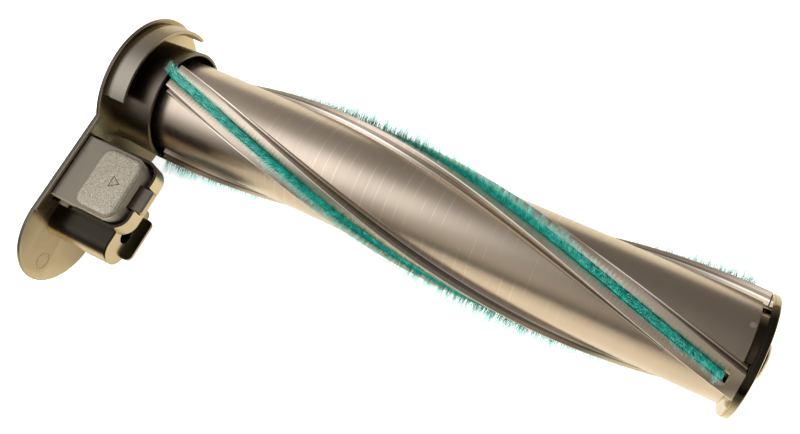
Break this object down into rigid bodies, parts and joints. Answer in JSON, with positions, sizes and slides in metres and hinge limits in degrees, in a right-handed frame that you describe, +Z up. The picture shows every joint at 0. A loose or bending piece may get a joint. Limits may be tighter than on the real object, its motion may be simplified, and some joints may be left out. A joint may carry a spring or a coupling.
{
  "type": "vacuum brush roller",
  "caption": "Brush roller of a vacuum floor head: tube with twisted bristle strips, keyed drive hub at one end, side cap with bearing and sliding release button at the other.",
  "frame": {"origin": "on the roller's axis, at the inner face of the side cap's plate", "axes": "+X along the roller from the side cap to the drive end, +Z up with the part lying on a floor"},
  "size_m": [0.2554, 0.1183, 0.0618],
  "materials": {
    "anodised_tube": "satin anodised",
    "cap_plastic": "satin",
    "button_plastic": "satin",
    "hub_plastic": "gloss",
    "steel": "brushed",
    "bristle": "fibre",
    "backing": "matt"
  },
  "bodies": {
    "cap": {"end_cap": "cap_plastic", "latch_housing": "cap_plastic", "housing_screw": "steel", "stub_axle": "steel", "axle_spacer": "steel", "bearing_inner_ring": "steel", "retaining_clip": "steel", "return_springs": "steel"},
    "button": {"release_button": "button_plastic", "latch_slide": "hub_plastic"},
    "roller": {"roller_tube": "anodised_tube", "bearing_plug": "hub_plastic", "bearing_outer_ring": "steel", "bearing_shields": "steel", "drive_hub": "hub_plastic", "hub_pins": "steel", "bristle_backing_1": "backing", "bristle_backing_2": "backing", "bristle_backing_3": "backing", "bristle_pile_1": "bristle", "bristle_pile_2": "bristle", "bristle_pile_3": "bristle"},
    "ball_carrier": {"bearing_balls": "steel", "ball_cage": "backing"}
  },
  "joints": [
    {"name": "button_slide", "type": "slide", "parent": "cap", "child": "button", "axis": [1, 0, 0], "range_m": [0, 0.003], "stiffness_N_per_m": 200, "deforming": ["return_springs"]},
    {"name": "roller_spin", "type": "hinge", "parent": "cap", "child": "roller", "pos_m": [0, 0, 0], "axis": [1, 0, 0], "continuous": true},
    {"name": "ball_orbit", "type": "hinge", "parent": "cap", "child": "ball_carrier", "pos_m": [0, 0, 0], "axis": [1, 0, 0], "continuous": true}
  ],
  "couplings": [
    {"joint": "ball_orbit", "follows": "roller_spin", "ratio": 0.628}
  ]
}
